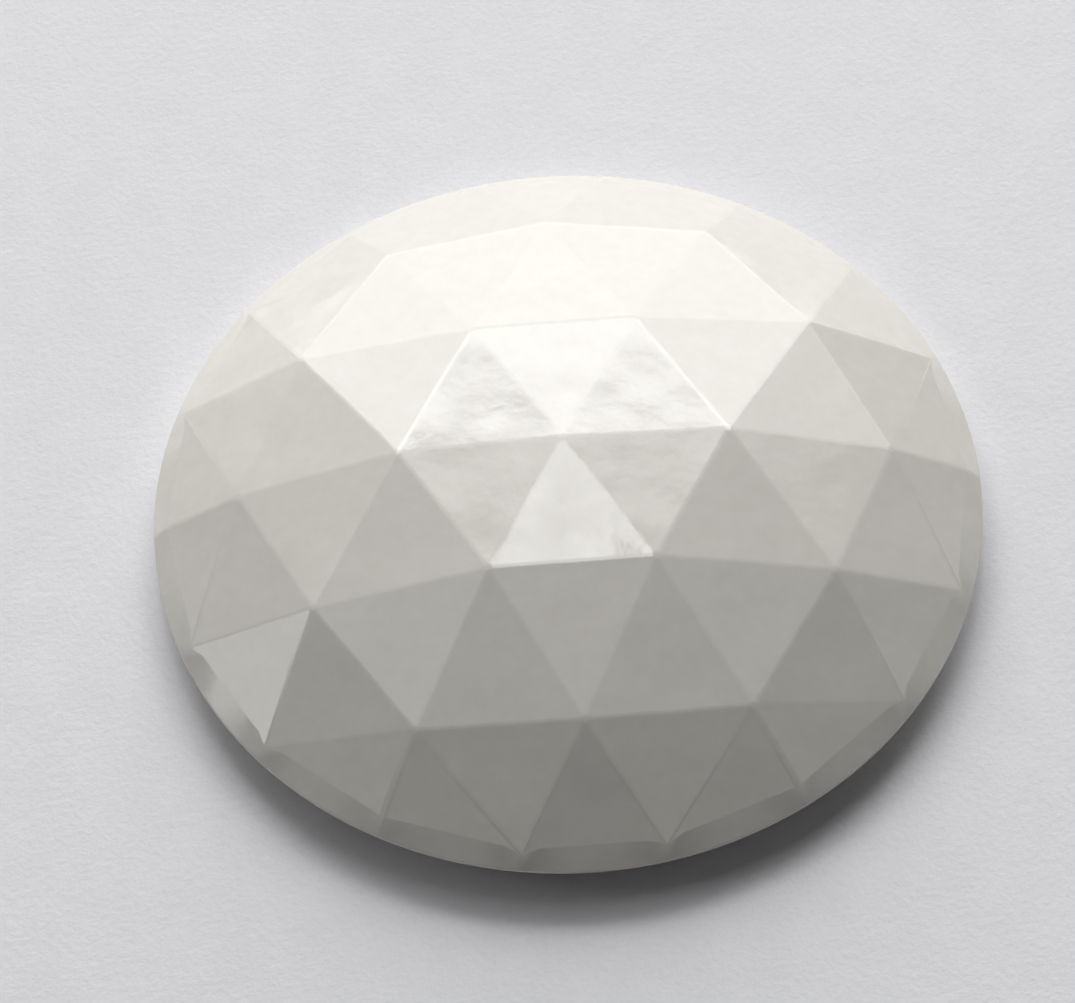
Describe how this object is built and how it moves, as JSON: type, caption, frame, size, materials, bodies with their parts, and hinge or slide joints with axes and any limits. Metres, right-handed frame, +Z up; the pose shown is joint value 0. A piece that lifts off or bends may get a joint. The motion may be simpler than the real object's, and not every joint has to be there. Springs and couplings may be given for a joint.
{
  "type": "shank button",
  "caption": "Round opaque white button with a low faceted dome and undercut rim, flat back, and a wire thread loop inside a dished metal cup set into the back.",
  "frame": {"origin": "centre of the flat back, on the surface that the button lies on", "axes": "+Z up through the centre of the faceted dome, +X through one of the six outer facet corners and along the span of the thread loop"},
  "size_m": [0.025, 0.025, 0.0052],
  "materials": {
    "white_gloss": "polished, opaque warm white with faint mottling and slight waves in the polish, duller on the rim and the facet edges",
    "plated_sheet": "stamped and nickel plated, fine turned marks",
    "plated_wire": "drawn and nickel plated",
    "cement": "dull, slightly grainy"
  },
  "bodies": {
    "root": {"faceted_head": "white_gloss", "shank_cup": "plated_sheet", "thread_loop": "plated_wire", "cement_bed": "cement"}
  },
  "joints": []
}
